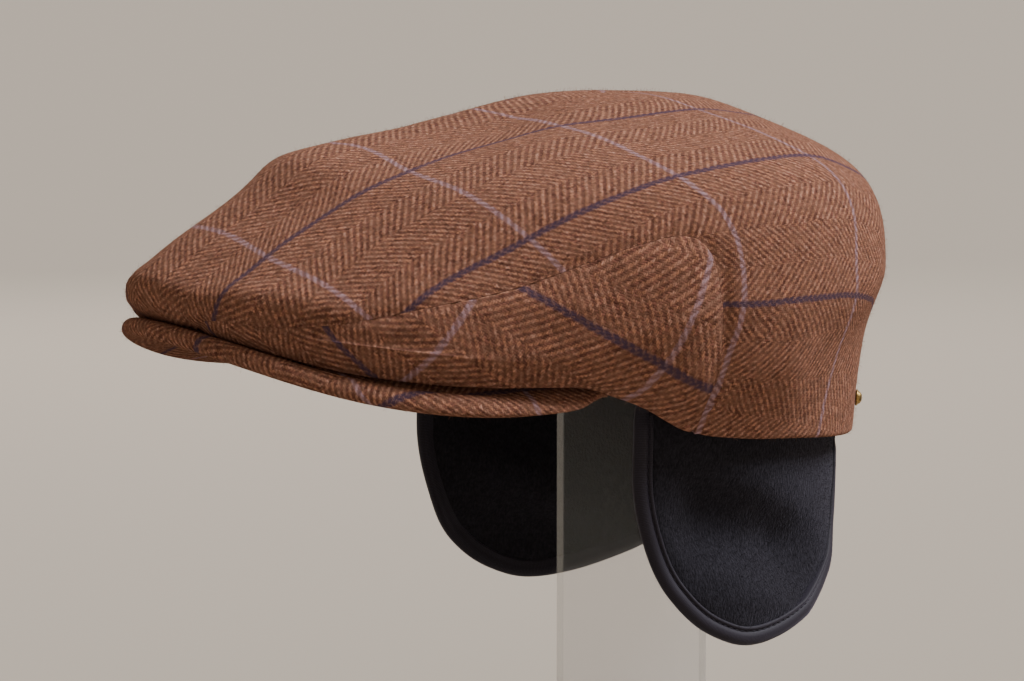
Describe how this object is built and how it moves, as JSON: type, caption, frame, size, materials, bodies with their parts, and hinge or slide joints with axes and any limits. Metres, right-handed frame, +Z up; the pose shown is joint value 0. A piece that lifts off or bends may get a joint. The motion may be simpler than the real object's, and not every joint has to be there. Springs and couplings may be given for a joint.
{
  "type": "flat cap with earflaps on a clear display stand",
  "caption": "Tweed flat cap with a panelled crown, a stiff arched peak and bound fleece earflaps that hang below the rim, held up by a clear upright sheet on a base plate.",
  "frame": {"origin": "middle of the underside of the stand's base plate, on the surface that it stands on", "axes": "+Z is up, -Y is the way that the peak points, +X is the wearer's left"},
  "size_m": [0.2018, 0.2668, 0.2304],
  "materials": {
    "tweed": "brown herringbone wool tweed with a navy and lilac windowpane overcheck",
    "fleece": "black brushed fleece with a short pile",
    "binding_tape": "smooth dark woven tape with a slight sheen",
    "stud_brass": "aged brass",
    "clear_acrylic": "clear cast sheet with polished edges"
  },
  "bodies": {
    "root": {"top_panel": "tweed", "side_panel_left": "tweed", "side_panel_right": "tweed", "peak": "tweed", "earflap_left": "fleece", "earflap_right": "fleece", "earflap_binding_left": "binding_tape", "earflap_binding_right": "binding_tape", "back_stud": "stud_brass", "stand_upright": "clear_acrylic", "stand_base": "clear_acrylic"}
  },
  "joints": []
}
